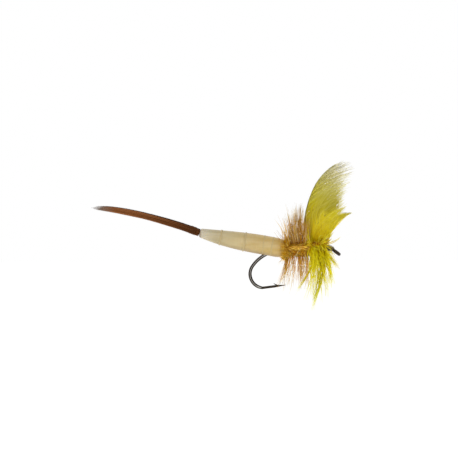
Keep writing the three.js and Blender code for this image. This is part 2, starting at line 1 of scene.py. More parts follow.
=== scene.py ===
"""Looks for a detached-body mayfly dry fly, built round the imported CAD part.

Lengths are in millimetres until a mesh is made, in the part's own frame: the origin is the centre of the
hook's eye, +X runs forward over the eye and +Z is up."""

import math

import bpy
import numpy as np
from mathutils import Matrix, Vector


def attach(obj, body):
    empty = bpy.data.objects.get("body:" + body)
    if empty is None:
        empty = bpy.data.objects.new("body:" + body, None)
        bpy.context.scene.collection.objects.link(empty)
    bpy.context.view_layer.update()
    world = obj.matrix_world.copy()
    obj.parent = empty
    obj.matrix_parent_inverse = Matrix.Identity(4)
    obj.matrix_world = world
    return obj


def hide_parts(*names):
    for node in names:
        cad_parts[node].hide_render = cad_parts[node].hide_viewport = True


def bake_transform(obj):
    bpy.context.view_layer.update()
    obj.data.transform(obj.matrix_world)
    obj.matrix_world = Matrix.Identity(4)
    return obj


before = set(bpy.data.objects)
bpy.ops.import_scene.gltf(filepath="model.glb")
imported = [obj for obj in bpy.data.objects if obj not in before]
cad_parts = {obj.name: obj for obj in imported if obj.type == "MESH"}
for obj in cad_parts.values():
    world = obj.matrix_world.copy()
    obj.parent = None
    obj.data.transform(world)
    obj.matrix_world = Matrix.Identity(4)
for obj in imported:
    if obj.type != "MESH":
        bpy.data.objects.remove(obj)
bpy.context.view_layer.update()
rng = np.random.default_rng(11)

MM = 0.001
X, Y = np.eye(3)[:2]

# ---- Sizes shared with the CAD part --------------------------------------------------------------

NECK = np.array([-1.01, 0, 0.8])
SHANK_TILT = math.radians(2.8)
SHANK_FORWARD = np.array([math.cos(SHANK_TILT), 0, math.sin(SHANK_TILT)])
SHANK_UP = np.array([-math.sin(SHANK_TILT), 0, math.cos(SHANK_TILT)])
SHANK_LENGTH = 9.56
WIRE_R = 0.3
EYE_RING_R = 0.65
EYE_WIRE_R = 0.32
EYE_DROP = math.radians(38)
EYE_FORWARD = np.array([math.cos(EYE_DROP), 0, -math.sin(EYE_DROP)])
EYE_BACK = -EYE_RING_R * EYE_FORWARD
THORAX_R = 0.95
BODY_AXIS = np.array([[-25.95, 3.7], [-21, 2.6], [-15.5, 1.65], [-9.9, 0.62]])
TAIL_AXIS = [[-25.95, 3.7], [-30.5, 5.25], [-36.5, 6.95], [-42.6, 8.12], [-46.8, 8.5]]

# ---- Meshes --------------------------------------------------------------------------------------


def new_mesh(name, vertices, faces):
    """A smooth-shaded object from vertices in millimetres."""
    mesh = bpy.data.meshes.new(name)
    mesh.from_pydata((np.asarray(vertices) * MM).tolist(), [], faces)
    mesh.polygons.foreach_set("use_smooth", np.ones(len(mesh.polygons), bool))
    mesh.update()
    obj = bpy.data.objects.new(name, mesh)
    bpy.context.scene.collection.objects.link(obj)
    return obj


def unit(vectors):
    return vectors / np.maximum(np.linalg.norm(vectors, axis=-1, keepdims=True), 1e-9)


def rods(name, lines, half_up, half_across=None, sides=5, side=Y):
    """Closed rods in one mesh. lines is (rods, points, 3). The half sizes are (rods, points), or broadcast
    to that: half_across lies along side, and half_up is square to it and to the rod."""
    lines = np.asarray(lines, float)
    if lines.ndim == 2:
        lines = lines[None]
    count, steps, _ = lines.shape
    half_up = np.broadcast_to(half_up, (count, steps))
    half_across = half_up if half_across is None else np.broadcast_to(half_across, (count, steps))
    tangent = unit(np.gradient(lines, axis=1))
    side = np.broadcast_to(side, tangent.shape)
    across = unit(side - np.sum(side * tangent, axis=-1, keepdims=True) * tangent)
    up = np.cross(across, tangent)
    angle = (np.arange(sides) + 0.5) / sides * 2 * math.pi
    ring = (
        up[:, :, None] * (half_up[:, :, None] * np.sin(angle))[..., None]
        + across[:, :, None] * (half_across[:, :, None] * np.cos(angle))[..., None]
    )
    vertices = (lines[:, :, None] + ring).reshape(-1, 3)
    base = np.arange(count * steps).reshape(count, steps) * sides
    a = base[:, :-1, None] + np.arange(sides)
    b = base[:, :-1, None] + (np.arange(sides) + 1) % sides
    quads = np.stack([a, a + sides, b + sides, b], axis=-1).reshape(-1, 4).tolist()
    start_caps = (base[:, :1] + np.arange(sides)).tolist()
    end_caps = (base[:, -1:] + np.arange(sides)[::-1]).tolist()
    return new_mesh(name, vertices, quads + start_caps + end_caps)


def distance_along(line):
    """The distance of each point of a line from its first point, along the line."""
    steps = np.linalg.norm(np.diff(line, axis=0), axis=1)
    return np.concatenate([[0], np.cumsum(steps)])


def sample(rows, given, wanted):
    """The rows of a table, which are given at some places along it, read at the wanted places."""
    return np.stack([np.interp(wanted, given, column) for column in rows.T], axis=1)


def smooth_line(points, count):
    """Evenly spaced points on a smooth curve through the given ones."""
    p = np.asarray(points, float)
    p = np.vstack([2 * p[0] - p[1], p, 2 * p[-1] - p[-2]])
    t = np.linspace(0, 1, 24, endpoint=False)[:, None]
    dense = [
        0.5 * (2 * b + (c - a) * t + (2 * a - 5 * b + 4 * c - d) * t**2 + (3 * b - a - 3 * c + d) * t**3)
        for a, b, c, d in zip(p, p[1:], p[2:], p[3:])
    ]
    dense = np.vstack(dense + [p[-2]])
    along = distance_along(dense)
    return sample(dense, along, np.linspace(0, along[-1], count))


def upright(pairs):
    """x, z pairs as points in the fly's upright plane."""
    return np.stack([pairs[:, 0], np.zeros(len(pairs)), pairs[:, 1]], axis=1)


def on_shank(x, radius=0.0, angle=0.0):
    """Points round the shank: x forward from the neck, the angle from the top towards the right side."""
    x, radius, angle = np.broadcast_arrays(x, radius, angle)
    return (
        NECK
        + x[..., None] * SHANK_FORWARD
        + (radius * np.cos(angle))[..., None] * SHANK_UP
        - (radius * np.sin(angle))[..., None] * Y
    )


def tube_round(name, line, radii, sides):
    """A surface with open ends round a line in the upright plane, with its rings square to it."""
    tangent = unit(np.gradient(line, axis=0))
    up = np.cross(tangent, Y)
    angle = np.arange(sides) / sides * 2 * math.pi
    ring = up[:, None] * np.cos(angle)[:, None] + Y * np.sin(angle)[:, None]
    vertices = (line[:, None] + ring * np.asarray(radii)[:, None, None]).reshape(-1, 3)
    base = np.arange(len(line) - 1)[:, None] * sides
    a, b = base + np.arange(sides), base + (np.arange(sides) + 1) % sides
    quads = np.stack([a, b, b + sides, a + sides], axis=-1).reshape(-1, 4).tolist()
    return new_mesh(name, vertices, quads)


def smoothstep(x, low, high):
    t = np.clip((x - low) / (high - low), 0, 1)
    return t * t * (3 - 2 * t)


def finish_piece(piece, look, body, slot, *replaced):
    """Gives a piece its material and the body that it rides on, and hides the CAD nodes it stands for. slot
    is not used.
    """
    piece.data.materials.append(look)
    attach(piece, body)
    if replaced:
        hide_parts(*replaced)


# ---- Materials -----------------------------------------------------------------------------------


class Look:
    """A procedural material under construction. Colours are written as screen values from 0 to 255."""

    def __init__(self, name, roughness=0.5, **sockets):
        self.material = bpy.data.materials.new(name)
        self.material.use_nodes = True
        self.tree = self.material.node_tree
        self.shader = self.tree.nodes["Principled BSDF"]
        self.shader.inputs["Roughness"].default_value = roughness
        for socket, value in sockets.items():
            self.shader.inputs[socket.replace("_", " ")].default_value = value
        self.place = self.tree.nodes.new("ShaderNodeTexCoord").outputs["Object"]

    def link(self, value, socket):
        """Joins a node's output to a socket, or sets the socket to a plain value."""
        if isinstance(value, bpy.types.NodeSocket):
            self.tree.links.new(value, socket)
        else:
            socket.default_value = value

    def math(self, operation, a, b=0.0):
        node = self.tree.nodes.new("ShaderNodeMath")
        node.operation = operation
        self.link(a, node.inputs[0])
        self.link(b, node.inputs[1])
        return node.outputs[0]

    def axis(self, name):
        """One object coordinate, in millimetres."""
        split = self.tree.nodes.new("ShaderNodeSeparateXYZ")
        self.link(self.place, split.inputs[0])
        return self.math("DIVIDE", split.outputs[name], MM)

    def between(self, value, low, high):
        """0 at the low value and 1 at the high one, held there beyond them."""
        node = self.tree.nodes.new("ShaderNodeMapRange")
        self.link(value, node.inputs["Value"])
        node.inputs["From Min"].default_value = low
        node.inputs["From Max"].default_value = high
        return node.outputs[0]

    def noise(self, scale, detail=2.0, stretch=(1, 1, 1)):
        """Noise with about this many cells a millimetre, stretched along the axes."""
        mapping = self.tree.nodes.new("ShaderNodeMapping")
        self.link(self.place, mapping.inputs["Vector"])
        mapping.inputs["Scale"].default_value = [1 / s for s in stretch]
        node = self.tree.nodes.new("ShaderNodeTexNoise")
        self.link(mapping.outputs[0], node.inputs["Vector"])
        node.inputs["Scale"].default_value = scale / MM
        node.inputs["Detail"].default_value = detail
        return node.outputs["Fac"]

    def strand(self):
        """A random number for each separate strand of the mesh."""
        return self.tree.nodes.new("ShaderNodeNewGeometry").outputs["Random Per Island"]

    def ramp(self, value, *stops):
        """stops are (place from 0 to 1, colour) pairs."""
        node = self.tree.nodes.new("ShaderNodeValToRGB")
        self.link(value, node.inputs["Fac"])
        elements = node.color_ramp.elements
        while len(elements) < len(stops):
            elements.new(0.5)
        for element, (place, colour) in zip(elements, stops):
            element.position = place
            element.color = (*linear(colour), 1)
        return node.outputs["Color"]

    def mix(self, share, a, b):
        """Colour a, running to colour b as the share rises from 0 to 1."""
        node = self.tree.nodes.new("ShaderNodeMix")
        node.data_type = "RGBA"
        factor = node.inputs[0]
        colours, result = node.inputs[6:8], node.outputs[2]
        self.link(share, factor)
        for value, socket in zip((a, b), colours):
            self.link((*linear(value), 1) if isinstance(value, tuple) else value, socket)
        return result

    def bump(self, height, distance):
        node = self.tree.nodes.new("ShaderNodeBump")
        self.link(height, node.inputs["Height"])
        node.inputs["Distance"].default_value = distance * MM
        self.link(node.outputs[0], self.shader.inputs["Normal"])

    def colour(self, value):
        self.link(value, self.shader.inputs["Base Color"])
        return self.material


def linear(colour):
    """A screen colour from 0 to 255 as the linear one that a shader takes."""
    c = np.asarray(colour, float) / 255
    return tuple(np.where(c <= 0.04045, c / 12.92, ((c + 0.055) / 1.055) ** 2.4))


def from_shank(look):
    """Distance from the shank's line, in millimetres."""
    x, y, z = (look.axis(name) for name in "XYZ")
    slope = math.tan(SHANK_TILT)
    line = look.math("ADD", look.math("MULTIPLY", x, slope), NECK[2] - NECK[0] * slope)
    rise = look.math("SUBTRACT", z, line)
    squares = look.math("ADD", look.math("MULTIPLY", rise, rise), look.math("MULTIPLY", y, y))
    return look.math("SQRT", squares)


def bronzed_steel():
    look = Look("bronzed_steel", roughness=0.28, Metallic=1.0)
    return look.colour(look.ramp(look.noise(1.5), (0.3, (52, 45, 38)), (0.7, (76, 66, 58))))


def steel_painted_highlight():
    """Bronzed like the rest, with a painted highlight: a pale line along the two flat sides of the wire."""
    look = Look("steel_painted_highlight", roughness=0.3, Metallic=1.0)
    bronze = look.ramp(look.noise(1.5), (0.3, (38, 33, 27)), (0.7, (54, 47, 40)))
    sideways = look.math("ABSOLUTE", look.axis("Y"))
    # painted highlight: pale where the wire's surface lies farthest out to the side
    return look.colour(look.mix(look.between(sideways, 0.264, 0.274), bronze, (160, 156, 150)))


def thread_look(name, dark, light, roughness=0.55, coat=0.0):
    """Wound thread or floss, with fine fibres along it."""
    look = Look(name, roughness=roughness, Coat_Weight=coat)
    look.bump(look.noise(14, stretch=(1, 3, 3)), 0.02)
    return look.colour(look.ramp(look.noise(2.5), (0.3, dark), (0.7, light)))


def ivory_skin():
    """A translucent strip wound round the body: silvery at the tip, warmer forward, faintly hooped, and
    with painted shade underneath."""
    look = Look("ivory_skin", roughness=0.55, Subsurface_Weight=0.35, Subsurface_Scale=0.8 * MM)
    look.shader.inputs["Subsurface Radius"].default_value = (1.0, 0.75, 0.45)
    along = look.between(look.axis("X"), BODY_AXIS[0, 0], BODY_AXIS[-1, 0])
    base = look.ramp(
        along,
        (0.0, (120, 102, 82)),
        (0.025, (176, 167, 148)),
        (0.1, (170, 159, 131)),
        (0.2, (162, 148, 111)),
        (0.4, (170, 152, 105)),
        (0.6, (176, 152, 96)),
        (0.85, (181, 154, 90)),
        (1.0, (172, 138, 64)),
    )
    streaks = look.noise(1.2, detail=3, stretch=(5, 1, 1))
    streaked = look.mix(look.between(streaks, 0.35, 0.75), base, look.mix(0.25, base, (216, 204, 172)))
    hoops = look.noise(3.5, detail=1, stretch=(0.35, 4, 4))
    look.bump(hoops, 0.008)
    hooped = look.mix(look.between(hoops, 0.55, 1.7), streaked, (156, 134, 94))
    slope = (BODY_AXIS[-1, 1] - BODY_AXIS[0, 1]) / (BODY_AXIS[-1, 0] - BODY_AXIS[0, 0])
    axis_rise = look.math("MULTIPLY", look.math("SUBTRACT", look.axis("X"), BODY_AXIS[0, 0]), slope)
    below_axis = look.math("SUBTRACT", look.math("ADD", axis_rise, BODY_AXIS[0, 1]), look.axis("Z"))
    # painted shade: darker below the body's axis, towards the underside
    return look.colour(look.mix(look.between(below_axis, 1.15, 2.3), hooped, (120, 96, 66)))


def brown_fibre(name, dark, middle, light):
    """Feather fibre that darkens towards its root and greys at the tip, with a tone of its own on each."""
    look = Look(name, roughness=0.7, Specular_IOR_Level=0.1)
    tone = look.ramp(look.strand(), (0.0, dark), (0.5, middle), (1.0, light))
    blotched = look.mix(look.between(look.noise(3, stretch=(3, 1, 1)), 0.3, 0.8), tone, middle)
    towards_root = look.math("MULTIPLY", look.between(look.axis("X"), -39, -29), 0.75)
    darkened = look.mix(towards_root, blotched, dark)
    return look.colour(look.mix(look.between(look.axis("X"), -42, -46.5), darkened, (122, 112, 102)))


def see_through(look):
    """Light passes through the barbs a little, more evenly in colour than it does through skin."""
    look.shader.inputs["Subsurface Weight"].default_value = 0.4
    look.shader.inputs["Subsurface Radius"].default_value = (1.0, 0.85, 0.4)
    look.shader.inputs["Subsurface Scale"].default_value = 0.3 * MM
    return look


def gold_dubbing():
    look = see_through(Look("gold_dubbing", roughness=0.8, Specular_IOR_Level=0.15))
    tones = (0.0, (112, 58, 0)), (0.25, (204, 130, 0)), (0.6, (246, 184, 24)), (1.0, (255, 226, 112))
    tone = look.ramp(look.strand(), *tones)
    look.bump(look.noise(5), 0.1)
    return look.colour(look.mix(look.between(look.noise(2), 0.5, 0.9), tone, (120, 66, 0)))


def hackle_look(name, root, shades, tip):
    """Barbs run from the root colour to the tip colour through a shade that differs from barb to barb."""
    look = see_through(Look(name, roughness=0.5, Specular_IOR_Level=0.2))
    out = look.between(from_shank(look), 1.0, 9.5)
    shade = look.ramp(look.strand(), *shades)
    body = look.mix(look.between(out, 0.16, 0.0), shade, root)
    return look.colour(look.mix(look.math("MULTIPLY", look.between(out, 0.5, 1.0), 0.8), body, tip))


def wing_look():
    """Golden olive at the base, greyer and paler towards the tips, with some barbs darker than others."""
    look = see_through(Look("yellow_feather", roughness=0.6, Specular_IOR_Level=0.15))
    height = look.math("ADD", look.axis("Z"), look.math("MULTIPLY", look.axis("X"), 0.55))
    out = look.between(height, 0, 18)
    base = look.ramp(
        out,
        (0.0, (220, 184, 0)),
        (0.2, (220, 194, 0)),
        (0.4, (212, 194, 20)),
        (0.65, (208, 196, 86)),
        (0.85, (214, 204, 148)),
        (1.0, (216, 212, 194)),
    )
    dark = look.ramp(out, (0.0, (202, 158, 0)), (0.5, (190, 174, 40)), (1.0, (172, 162, 128)))
    light = look.ramp(out, (0.0, (226, 202, 4)), (0.5, (216, 206, 84)), (1.0, (236, 230, 190)))
    shaded = look.mix(look.between(look.strand(), 0.4, 0.0), base, dark)
    return look.colour(look.mix(look.between(look.strand(), 0.6, 1.0), shaded, light))


# ---- Hook ----------------------------------------------------------------------------------------

UPPER_BEND_R = 6.97
UPPER_BEND_TURN = math.radians(52.1)
LOWER_BEND_R = 2.64
LOWER_BEND_TURN = math.radians(119)
SPEAR_LENGTH = 4.6
SPEAR_RISE = math.radians(7)
SPEAR_R = 0.24
POINT_LENGTH = 2.4


def walk(start, heading, stretches):
    """Points of a line in the upright plane, made of (length, turn, steps) stretches."""
    points = [np.array(start, float)]
    for length, turn, steps in stretches:
        for _ in range(steps):
            heading += turn / steps / 2
            ahead = np.array([math.cos(heading), 0, math.sin(heading)])
            points.append(points[-1] + length / steps * ahead)
            heading += turn / steps / 2
    return np.array(points)


def hook_line():
    """The wire's centre line from the neck back along the shank, round the bend and out to the point."""
    bend = walk(
        NECK,
        math.pi + SHANK_TILT,
        [
            (SHANK_LENGTH, 0, 12),
            (UPPER_BEND_R * UPPER_BEND_TURN, UPPER_BEND_TURN, 26),
            (LOWER_BEND_R * LOWER_BEND_TURN, LOWER_BEND_TURN, 36),
        ],
    )
    spear = walk(bend[-1], 2 * math.pi + SPEAR_RISE, [(SPEAR_LENGTH, 0, 24)])
    return np.vstack([bend, spear[1:]])


def hook_wire():
    """The wire thins to the spear and to its point, and its bend is forged flat on both sides."""
    line = hook_line()
    along = distance_along(line)
    to_point = along[-1] - along
    radius = np.interp(along, [0, 1.2], [0.28, WIRE_R + 0.02])
    radius = np.minimum(radius, SPEAR_R + 0.08 * smoothstep(to_point, 4.1, 5.6))
    radius = radius * np.clip(0.04 + to_point / POINT_LENGTH, 0, 1) ** 0.8
    forged = smoothstep(along, 11.5, 13.5) * smoothstep(to_point, 4.6, 6.1)
    return rods("hook_wire", line, radius, radius * (1 - 0.14 * forged), sides=20)


def hook_eye():
    """A ring that the wire's end doesn't quite close."""
    turn = np.linspace(0.06, 2 * math.pi - 0.1, 44)
    line = EYE_RING_R * (-np.cos(turn)[:, None] * EYE_FORWARD + np.sin(turn)[:, None] * Y)
    radius = EYE_WIRE_R * (1 - 0.3 * smoothstep(turn, 5.2, 6.2))
    return rods("hook_eye", line, radius, sides=14, side=np.cross(EYE_FORWARD, Y))


def hook_neck():
    """The bent wire between the eye and the shank."""
    at_eye = [EYE_BACK + 0.1 * EYE_FORWARD, EYE_BACK - 0.18 * EYE_FORWARD]
    line = smooth_line([*at_eye, NECK, NECK - 0.6 * SHANK_FORWARD], 12)
    return rods("hook_neck", line, np.linspace(EYE_WIRE_R, WIRE_R, 12), sides=14)


def hook_barb():
    line = smooth_line([[-11.0, 0, -6.42], [-11.4, 0, -6.22], [-11.92, 0, -5.93]], 8)
    return rods("hook_barb", line, np.linspace(0.2, 0.04, 8), np.linspace(0.15, 0.05, 8), sides=8)


def hook():
    wire, *small_pieces = hook_wire(), hook_eye(), hook_neck(), hook_barb()
    steel = bronzed_steel()
    finish_piece(wire, steel_painted_highlight(), "hook_body", "bronzed_steel", "hook")
    for piece in small_pieces:
        finish_piece(piece, steel, "hook_body", "bronzed_steel")


# ---- Thread --------------------------------------------------------------------------------------

THREAD_R = 0.05
HEAD_THREAD_R = 0.07


def coil(line, radii, turns, flat=1.0):
    """Points that wind round a line in the upright plane. radii are given along the line, and flat narrows
    the coil."""
    share = np.linspace(0, 1, int(turns * 24) + 1)
    centre = sample(line, np.linspace(0, 1, len(line)), share)
    up = np.cross(unit(np.gradient(centre, axis=0)), Y)
    radius = np.interp(share, np.linspace(0, 1, len(radii)), radii)[:, None]
    angle = (2 * math.pi * turns * share)[:, None]
    return centre + radius * (np.cos(angle) * up + flat * np.sin(angle) * Y)


def shank_thread():
    """The thread base, wound in close turns along the shank."""
    turns = coil(on_shank(np.array([-8.5, -0.2])), [0.36, 0.36], 60)
    return rods("shank_thread", turns, THREAD_R, sides=6, side=SHANK_FORWARD)


def head_thread():
    """The head, a spindle of thread that runs down onto the neck."""
    line = smooth_line([*on_shank(np.array([-1.2, -0.55])), NECK, NECK + 0.75 * (EYE_BACK - NECK)], 30)
    share = np.linspace(0, 1, 30)
    radius = 0.42 - 0.12 * share + 0.15 * np.sin(math.pi * share) ** 0.8
    return rods("head_thread", coil(line, radius, 14), HEAD_THREAD_R, sides=8, side=SHANK_FORWARD)


def wing_post_thread():
    """The upright post that binds the wings' roots."""
    line = on_shank(-2.95) + np.outer([0.46, 1.28], SHANK_UP)
    return rods("wing_post_thread", coil(line, [0.24, 0.24], 8), HEAD_THREAD_R, sides=6, side=SHANK_UP)


def threads():
    base, head, post = shank_thread(), head_thread(), wing_post_thread()
    olive = thread_look("olive_thread", (84, 62, 10), (128, 100, 22))
    varnished = thread_look("varnished_olive_thread", (66, 54, 4), (110, 90, 14), roughness=0.35, coat=0.25)
    finish_piece(base, olive, "hook_body", "olive_thread", "thread_base")
    finish_piece(head, varnished, "hook_body", "olive_thread", "head_wraps", "head_varnish")
    finish_piece(post, olive, "hook_body", "olive_thread", "wing_post_wraps")


# ---- Detached body -------------------------------------------------------------------------------

RIB_PLACES = 4.05, 8.65, 12.3, 13.9
RAISED_RIBS = 2


def body_line(count):
    """The body's axis from its tip to the thorax."""
    curve = np.polyfit(BODY_AXIS[:, 0], BODY_AXIS[:, 1], 3)
    x = np.linspace(BODY_AXIS[0, 0], BODY_AXIS[-1, 0], count)
    return upright(np.stack([x, np.polyval(curve, x)], axis=1))


def body_radius(along):
    """The body swells from its tip and draws in a little at the thorax, with a ripple at each turn."""
    thin = np.maximum(0, 1 - along / 12)
    nose = np.maximum(0, 1 - (along[-1] - along) / 1.6)
    smooth = (1.83 - thin**2) * np.sqrt(1 - 0.5 * nose**2)
    return smooth + 0.012 * np.sin(along * 2 * math.pi / 0.45) * smoothstep(along, 6, 9)


def rib_ring(number, centre, tangent, radius):
    """A hoop of thread round the body. The raised ones stand on the skin, and the others are half sunk
    in it."""
    raised = number <= RAISED_RIBS
    radius = radius + (0.04 if raised else 0)
    up = np.cross(tangent, Y)
    turn = np.linspace(0, 2 * math.pi, 65)[:, None]
    hoop = centre + radius * (np.cos(turn) * up + np.sin(turn) * Y)
    hoop = hoop + 0.05 * np.sin(3 * turn + number - 1) * tangent
    width, thickness = (0.12, 0.09) if raised else (0.07, 0.05)
    return rods(f"rib_ring_{number}", hoop, thickness, width, sides=8, side=tangent)


def body():
    line = body_line(260)
    along = distance_along(line)
    radius = body_radius(along)
    tangent = unit(np.gradient(line, axis=0))
    rounded_end = 1 - 0.4 * np.clip(1 - along / 0.3, 0, 1) ** 3
    skin = tube_round("abdomen_skin", line, radius * rounded_end, 64)
    skin.data.materials.append(ivory_skin())
    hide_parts("abdomen_skin_rear", "abdomen_skin_front")
    rib_look = thread_look("ivory_rib", (168, 148, 102), (184, 164, 118), roughness=0.45)
    for number, place in enumerate(RIB_PLACES, 1):
        k = np.searchsorted(along, place)
        ring = rib_ring(number, line[k], tangent[k], radius[k])
        rides_on = "abdomen" if number <= RAISED_RIBS else "hook_body"
        finish_piece(ring, rib_look, rides_on, "cream_thread", f"rib_{number}")
    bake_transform(skin)


# ---- Tail ----------------------------------------------------------------------------------------

TAIL_POINTS = 80
TAIL_HALF_HEIGHT = 0.72
TAIL_ROWS = 9
TAIL_COLUMNS = 3


def tail_fibres(axis, up, half_height):
    """The fibres of the flat bundle, in rows from the bottom to the top, that taper together to the tip."""
    share = np.linspace(0, 1, TAIL_POINTS)
    lines, radii = [], []
    for row in range(TAIL_ROWS):
        for column in range(TAIL_COLUMNS):
            rise = (row - (TAIL_ROWS - 1) / 2) / (TAIL_ROWS / 2) * 0.93
            wander = 0.05 * np.sin(share * rng.uniform(5, 11) + rng.uniform(0, 6))
            end = 1 - 0.035 * abs(row - 3) / 4 - rng.uniform(0, 0.03)
            reach = np.interp(share, [0, 1], [0.006 * rise**2, end])
            half = np.interp(reach, share, half_height)
            across = (column - 1) * 0.17 + rng.uniform(-0.03, 0.03)
            line = sample(axis, share, reach) + sample(up, share, reach) * (half * (rise + wander))[:, None]
            lines.append(line + across * Y * half[:, None] / TAIL_HALF_HEIGHT)
            radii.append(half / TAIL_ROWS * 1.25 * np.clip(0.1 + (1 - share) * 7, 0, 1))
    return lines, radii


def tail_barbules(count, axis, tangent, up, half_height):
    """Short fuzz along the two edges of the bundle, more of it below than above."""
    lines = []
    for _ in range(count):
        k = rng.integers(3, 74)
        edge = -1 if rng.random() < 0.7 else 1
        length = rng.uniform(0.12, 0.34) * (half_height[k] / TAIL_HALF_HEIGHT)
        root = axis[k] + up[k] * half_height[k] * (0.85 * edge) + Y * rng.uniform(-0.2, 0.2)
        out = tangent[k] * 0.8 + up[k] * (0.45 * edge) + Y * rng.uniform(-0.5, 0.5)
        lines.append(root + np.outer(np.linspace(0, length, 4), unit(out)))
    return lines


def tail():
    axis = upright(smooth_line(TAIL_AXIS, TAIL_POINTS))
    tangent = unit(np.gradient(axis, axis=0))
    up = np.cross(tangent, -Y)
    share = np.linspace(0, 1, TAIL_POINTS)
    half_height = TAIL_HALF_HEIGHT * (1 - 0.12 * share) * np.sqrt(np.maximum(0.02, 1 - share**6))
    lines, radii = tail_fibres(axis, up, half_height)
    top = TAIL_COLUMNS
    bundle = rods("tail_fibres", lines[:-top], radii[:-top], sides=6)
    edge = rods("tail_top_fibres", lines[-top:], radii[-top:], sides=6)
    fuzz_lines = tail_barbules(520, axis, tangent, up, half_height)
    fuzz = rods("tail_barbules", fuzz_lines, np.linspace(0.022, 0.008, 4), sides=3)
    turns = coil(axis[3:8], [0.76, 0.76], 7, flat=0.6)
    binding = rods("tail_binding_thread", turns, THREAD_R, sides=6, side=tangent[5])
    brown = brown_fibre("brown_fibre", (62, 30, 2), (116, 68, 32), (168, 116, 76))
    dark_brown = brown_fibre("dark_brown_fibre", (40, 18, 4), (58, 28, 8), (80, 44, 20))
    finish_piece(bundle, brown, "tail", "brown_fibre", *(f"tail_fibre_{i}" for i in range(1, 8)))
    finish_piece(fuzz, brown, "tail", "brown_fibre")
    finish_piece(edge, dark_brown, "tail", "brown_fibre")
    finish_piece(binding, brown, "tail", "brown_thread", "tail_binding")


# ---- Thorax --------------------------------------------------------------------------------------

SPUN_HAIRS = 2600
FLARED_HAIRS = 1000
HAIR_STEPS = np.linspace(0, 1, 6)
HAIR_RADII = np.linspace(0.035, 0.012, 6)


def thorax_core():
    """The spun fur's solid middle, rounded at both ends."""
    x = np.linspace(-9.0, -1.2, 60)
    ends = np.sin(math.pi * np.clip(0.1 + 0.85 * (x + 9) / 7.8, 0, 1)) ** 0.3
    return tube_round("thorax_fur_core", on_shank(x), THORAX_R * ends * (1 + 0.05 * np.sin(x * 7)), 40)


def spun_hairs(count):
    """Short hairs that arch out of the thorax all over."""
    t = HAIR_STEPS
    lines = []
    for _ in range(count):
        root_x = rng.uniform(-9.1, -1.3)
        lean = rng.normal(0, 0.5) * rng.uniform(0.5, 1.6)
        radius = 0.85 + rng.uniform(0.2, 0.7) * np.sin(2.2 * t)
        angle = rng.uniform(0, 2 * math.pi) + rng.normal(0, 0.7) * t
        lines.append(on_shank(root_x + lean * t, radius, angle))
    return lines


def flared_hairs(count):
    """Longer hairs from the rear of the thorax, swept back over the end of the body."""
    t = HAIR_STEPS[:, None]
    lines = []
    for _ in range(count):
        angle = rng.uniform(0, 2 * math.pi)
        root = on_shank(rng.uniform(-8.7, -7.9), 0.9, angle)
        outwards = np.array([0, -math.sin(angle), math.cos(angle)]) * rng.uniform(1.45, 2.1)
        forward = max(0, math.cos(angle)) ** 2 + 0.4 * max(0, -math.cos(angle))
        tip = np.array([rng.uniform(-11.1, -9.4) + forward, 0, 0.6]) + outwards
        bulge = 0.25 * outwards * np.sin(math.pi * t)
        lines.append(root + (tip - root) * t + bulge + rng.normal(0, 0.12, 3) * t)
    return lines


def gold_strands():
    """Wavy strands that lie side by side along the fly's right side."""
    t = np.linspace(0, 1, 50)
    lines = []
    for phase in (0.0, 1.1, 2.3, 3.5, 4.7):
        wave = 0.07 * np.sin((11 + phase) * t + phase)
        x = -8.7 + 0.4 * math.sin(phase) + (4.3 + 0.5 * math.cos(3 * phase)) * t
        radius = 1.3 + 0.42 * np.sin(math.pi * np.clip(1.6 * t, 0, 1) / 2) + 0.05 * np.sin(9 * t + phase)
        lines.append(on_shank(x, radius, 1.16 + 0.06 * phase + 0.1 * t + wave))
    return lines


def thorax():
    core = thorax_core()
    hairs = spun_hairs(SPUN_HAIRS) + flared_hairs(FLARED_HAIRS)
    fur = rods("thorax_fur", hairs, HAIR_RADII, sides=4)
    strand = rods("gold_strand_thread", gold_strands(), THREAD_R, sides=6)
    dubbing = gold_dubbing()
    floss = thread_look("gold_floss", (204, 146, 14), (240, 200, 70))
    finish_piece(core, dubbing, "hook_body", "gold_dubbing", "thorax_dubbing")
    finish_piece(fur, dubbing, "hook_body", "gold_dubbing")
    finish_piece(strand, floss, "hook_body", "gold_dubbing", "gold_strand")


# ---- Hackles -------------------------------------------------------------------------------------

STEM_RING_R = 1.11
STEM_R = 0.09
BARB_STEPS = np.linspace(0, 1, 9)
GINGER_REAR = -8.7
GINGER_WIDTH = 4.35
GINGER_TURNS = 6
GINGER_BARBS = 470
GINGER_BARB_R = 0.042
YELLOW_REAR = -4
YELLOW_PITCH = 0.62
YELLOW_TURNS = 4
YELLOW_BARBS = 220
YELLOW_WEB_BARBS = 760
YELLOW_BARB_R = 0.055


def ginger_x(turn):
    """Where the ginger feather's stem lies along the shank."""
    return GINGER_REAR + GINGER_WIDTH * turn / GINGER_TURNS


def yellow_x(turn):
    """Where the yellow feather's stem lies along the shank. It steps over the wings' roots."""
    return YELLOW_REAR + YELLOW_PITCH * turn + 0.3 * smoothstep(turn, 1.1, 1.9)


def wound_stem(turns, x_at):
    """The stem of a feather that is wound round the thorax."""
    turn = np.linspace(0, turns, 24 * turns)
    return on_shank(x_at(turn), STEM_RING_R, 2 * math.pi * turn)


def ring_barbs(turns, x_at, count, shape):
    """Barbs set all along a wound stem. shape(angle, share) gives a barb's length, lean, curl and droop, or
    None for no barb. share runs from 0 on the rearmost turn to 1 on the foremost."""
    t = BARB_STEPS
    lines = []
    for i in range(count):
        here = (i + rng.random()) / count * turns
        angle = 2 * math.pi * here
        form = shape(angle % (2 * math.pi), here / turns)
        if form is None:
            continue
        length, lean, curl, droop = form
        x = x_at(here) + rng.normal(0, 0.22) + lean * t + curl * t**2
        around = angle + rng.normal(0, 0.08) * t**2 + rng.normal(0, 0.05)
        line = on_shank(x, STEM_RING_R - 0.15 + length * t, around)
        lines.append(line - np.outer(droop * t**2, SHANK_UP))
    return np.array(lines)


